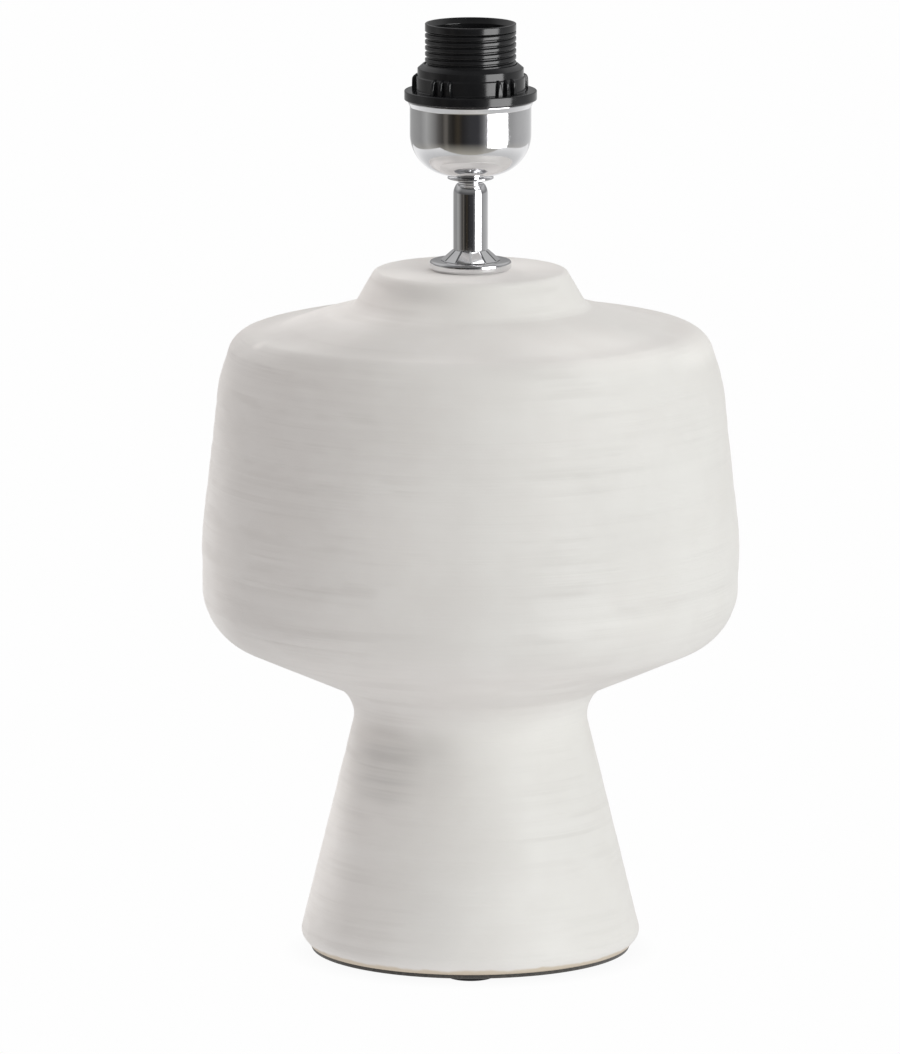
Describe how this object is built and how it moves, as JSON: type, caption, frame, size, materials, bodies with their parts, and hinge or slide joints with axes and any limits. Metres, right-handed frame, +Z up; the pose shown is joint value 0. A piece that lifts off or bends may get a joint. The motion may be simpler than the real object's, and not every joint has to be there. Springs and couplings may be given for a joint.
{
  "type": "table lamp base",
  "caption": "Glazed ceramic table lamp base with a conical foot, a soft drum body, a chrome neck and cup, and a screw lampholder with a shade ring.",
  "frame": {"origin": "on the table, under the middle of the foot", "axes": "+Z up along the axis of the body, the neck and the lampholder; -Y is the side that the picture shows, and the cord hole is at +Y"},
  "size_m": [0.2344, 0.2344, 0.4084],
  "materials": {
    "glaze": "satin off-white glaze over soft throwing ridges",
    "felt": "dark wool felt",
    "black_rubber": "matt black rubber",
    "zinc_steel": "zinc-plated steel",
    "chrome": "bright chrome plate",
    "black_plastic": "glossy black moulded plastic",
    "insulator": "dull black moulded insulator",
    "nickel": "nickel-plated pressed sleeve",
    "brass": "bare brass"
  },
  "bodies": {
    "base": {"ceramic_body": "glaze", "base_felt": "felt", "foot_pad_1": "black_rubber", "foot_pad_2": "black_rubber", "foot_pad_3": "black_rubber", "foot_pad_4": "black_rubber", "cord_grommet": "black_rubber", "m10_nipple": "zinc_steel", "rubber_washer": "black_rubber", "steel_washer": "zinc_steel", "base_nut": "zinc_steel", "cup_nut": "zinc_steel", "vase_cap": "chrome", "seat_ring": "chrome", "neck_tube": "chrome", "flared_collar": "chrome", "neck_washer": "chrome", "holder_cup": "chrome", "holder_dome": "black_plastic", "threaded_barrel": "black_plastic", "contact_block": "insulator", "screw_sleeve": "nickel", "live_foot": "brass", "live_rivet": "brass", "neutral_rivet": "brass", "live_terminal": "brass", "live_screw": "zinc_steel", "neutral_terminal": "brass", "neutral_screw": "zinc_steel"},
    "ring": {"shade_ring": "black_plastic"},
    "contact": {"centre_contact": "brass"}
  },
  "joints": [
    {"name": "ring_travel", "type": "slide", "parent": "base", "child": "ring", "axis": [0, 0, 1], "range_m": [0, 0.028]},
    {"name": "contact_press", "type": "hinge", "parent": "base", "child": "contact", "pos_m": [-0.0028, 0, 0.3809], "axis": [0, 1, 0], "range_deg": [0, 8], "stiffness_Nm_per_rad": 0.3}
  ]
}
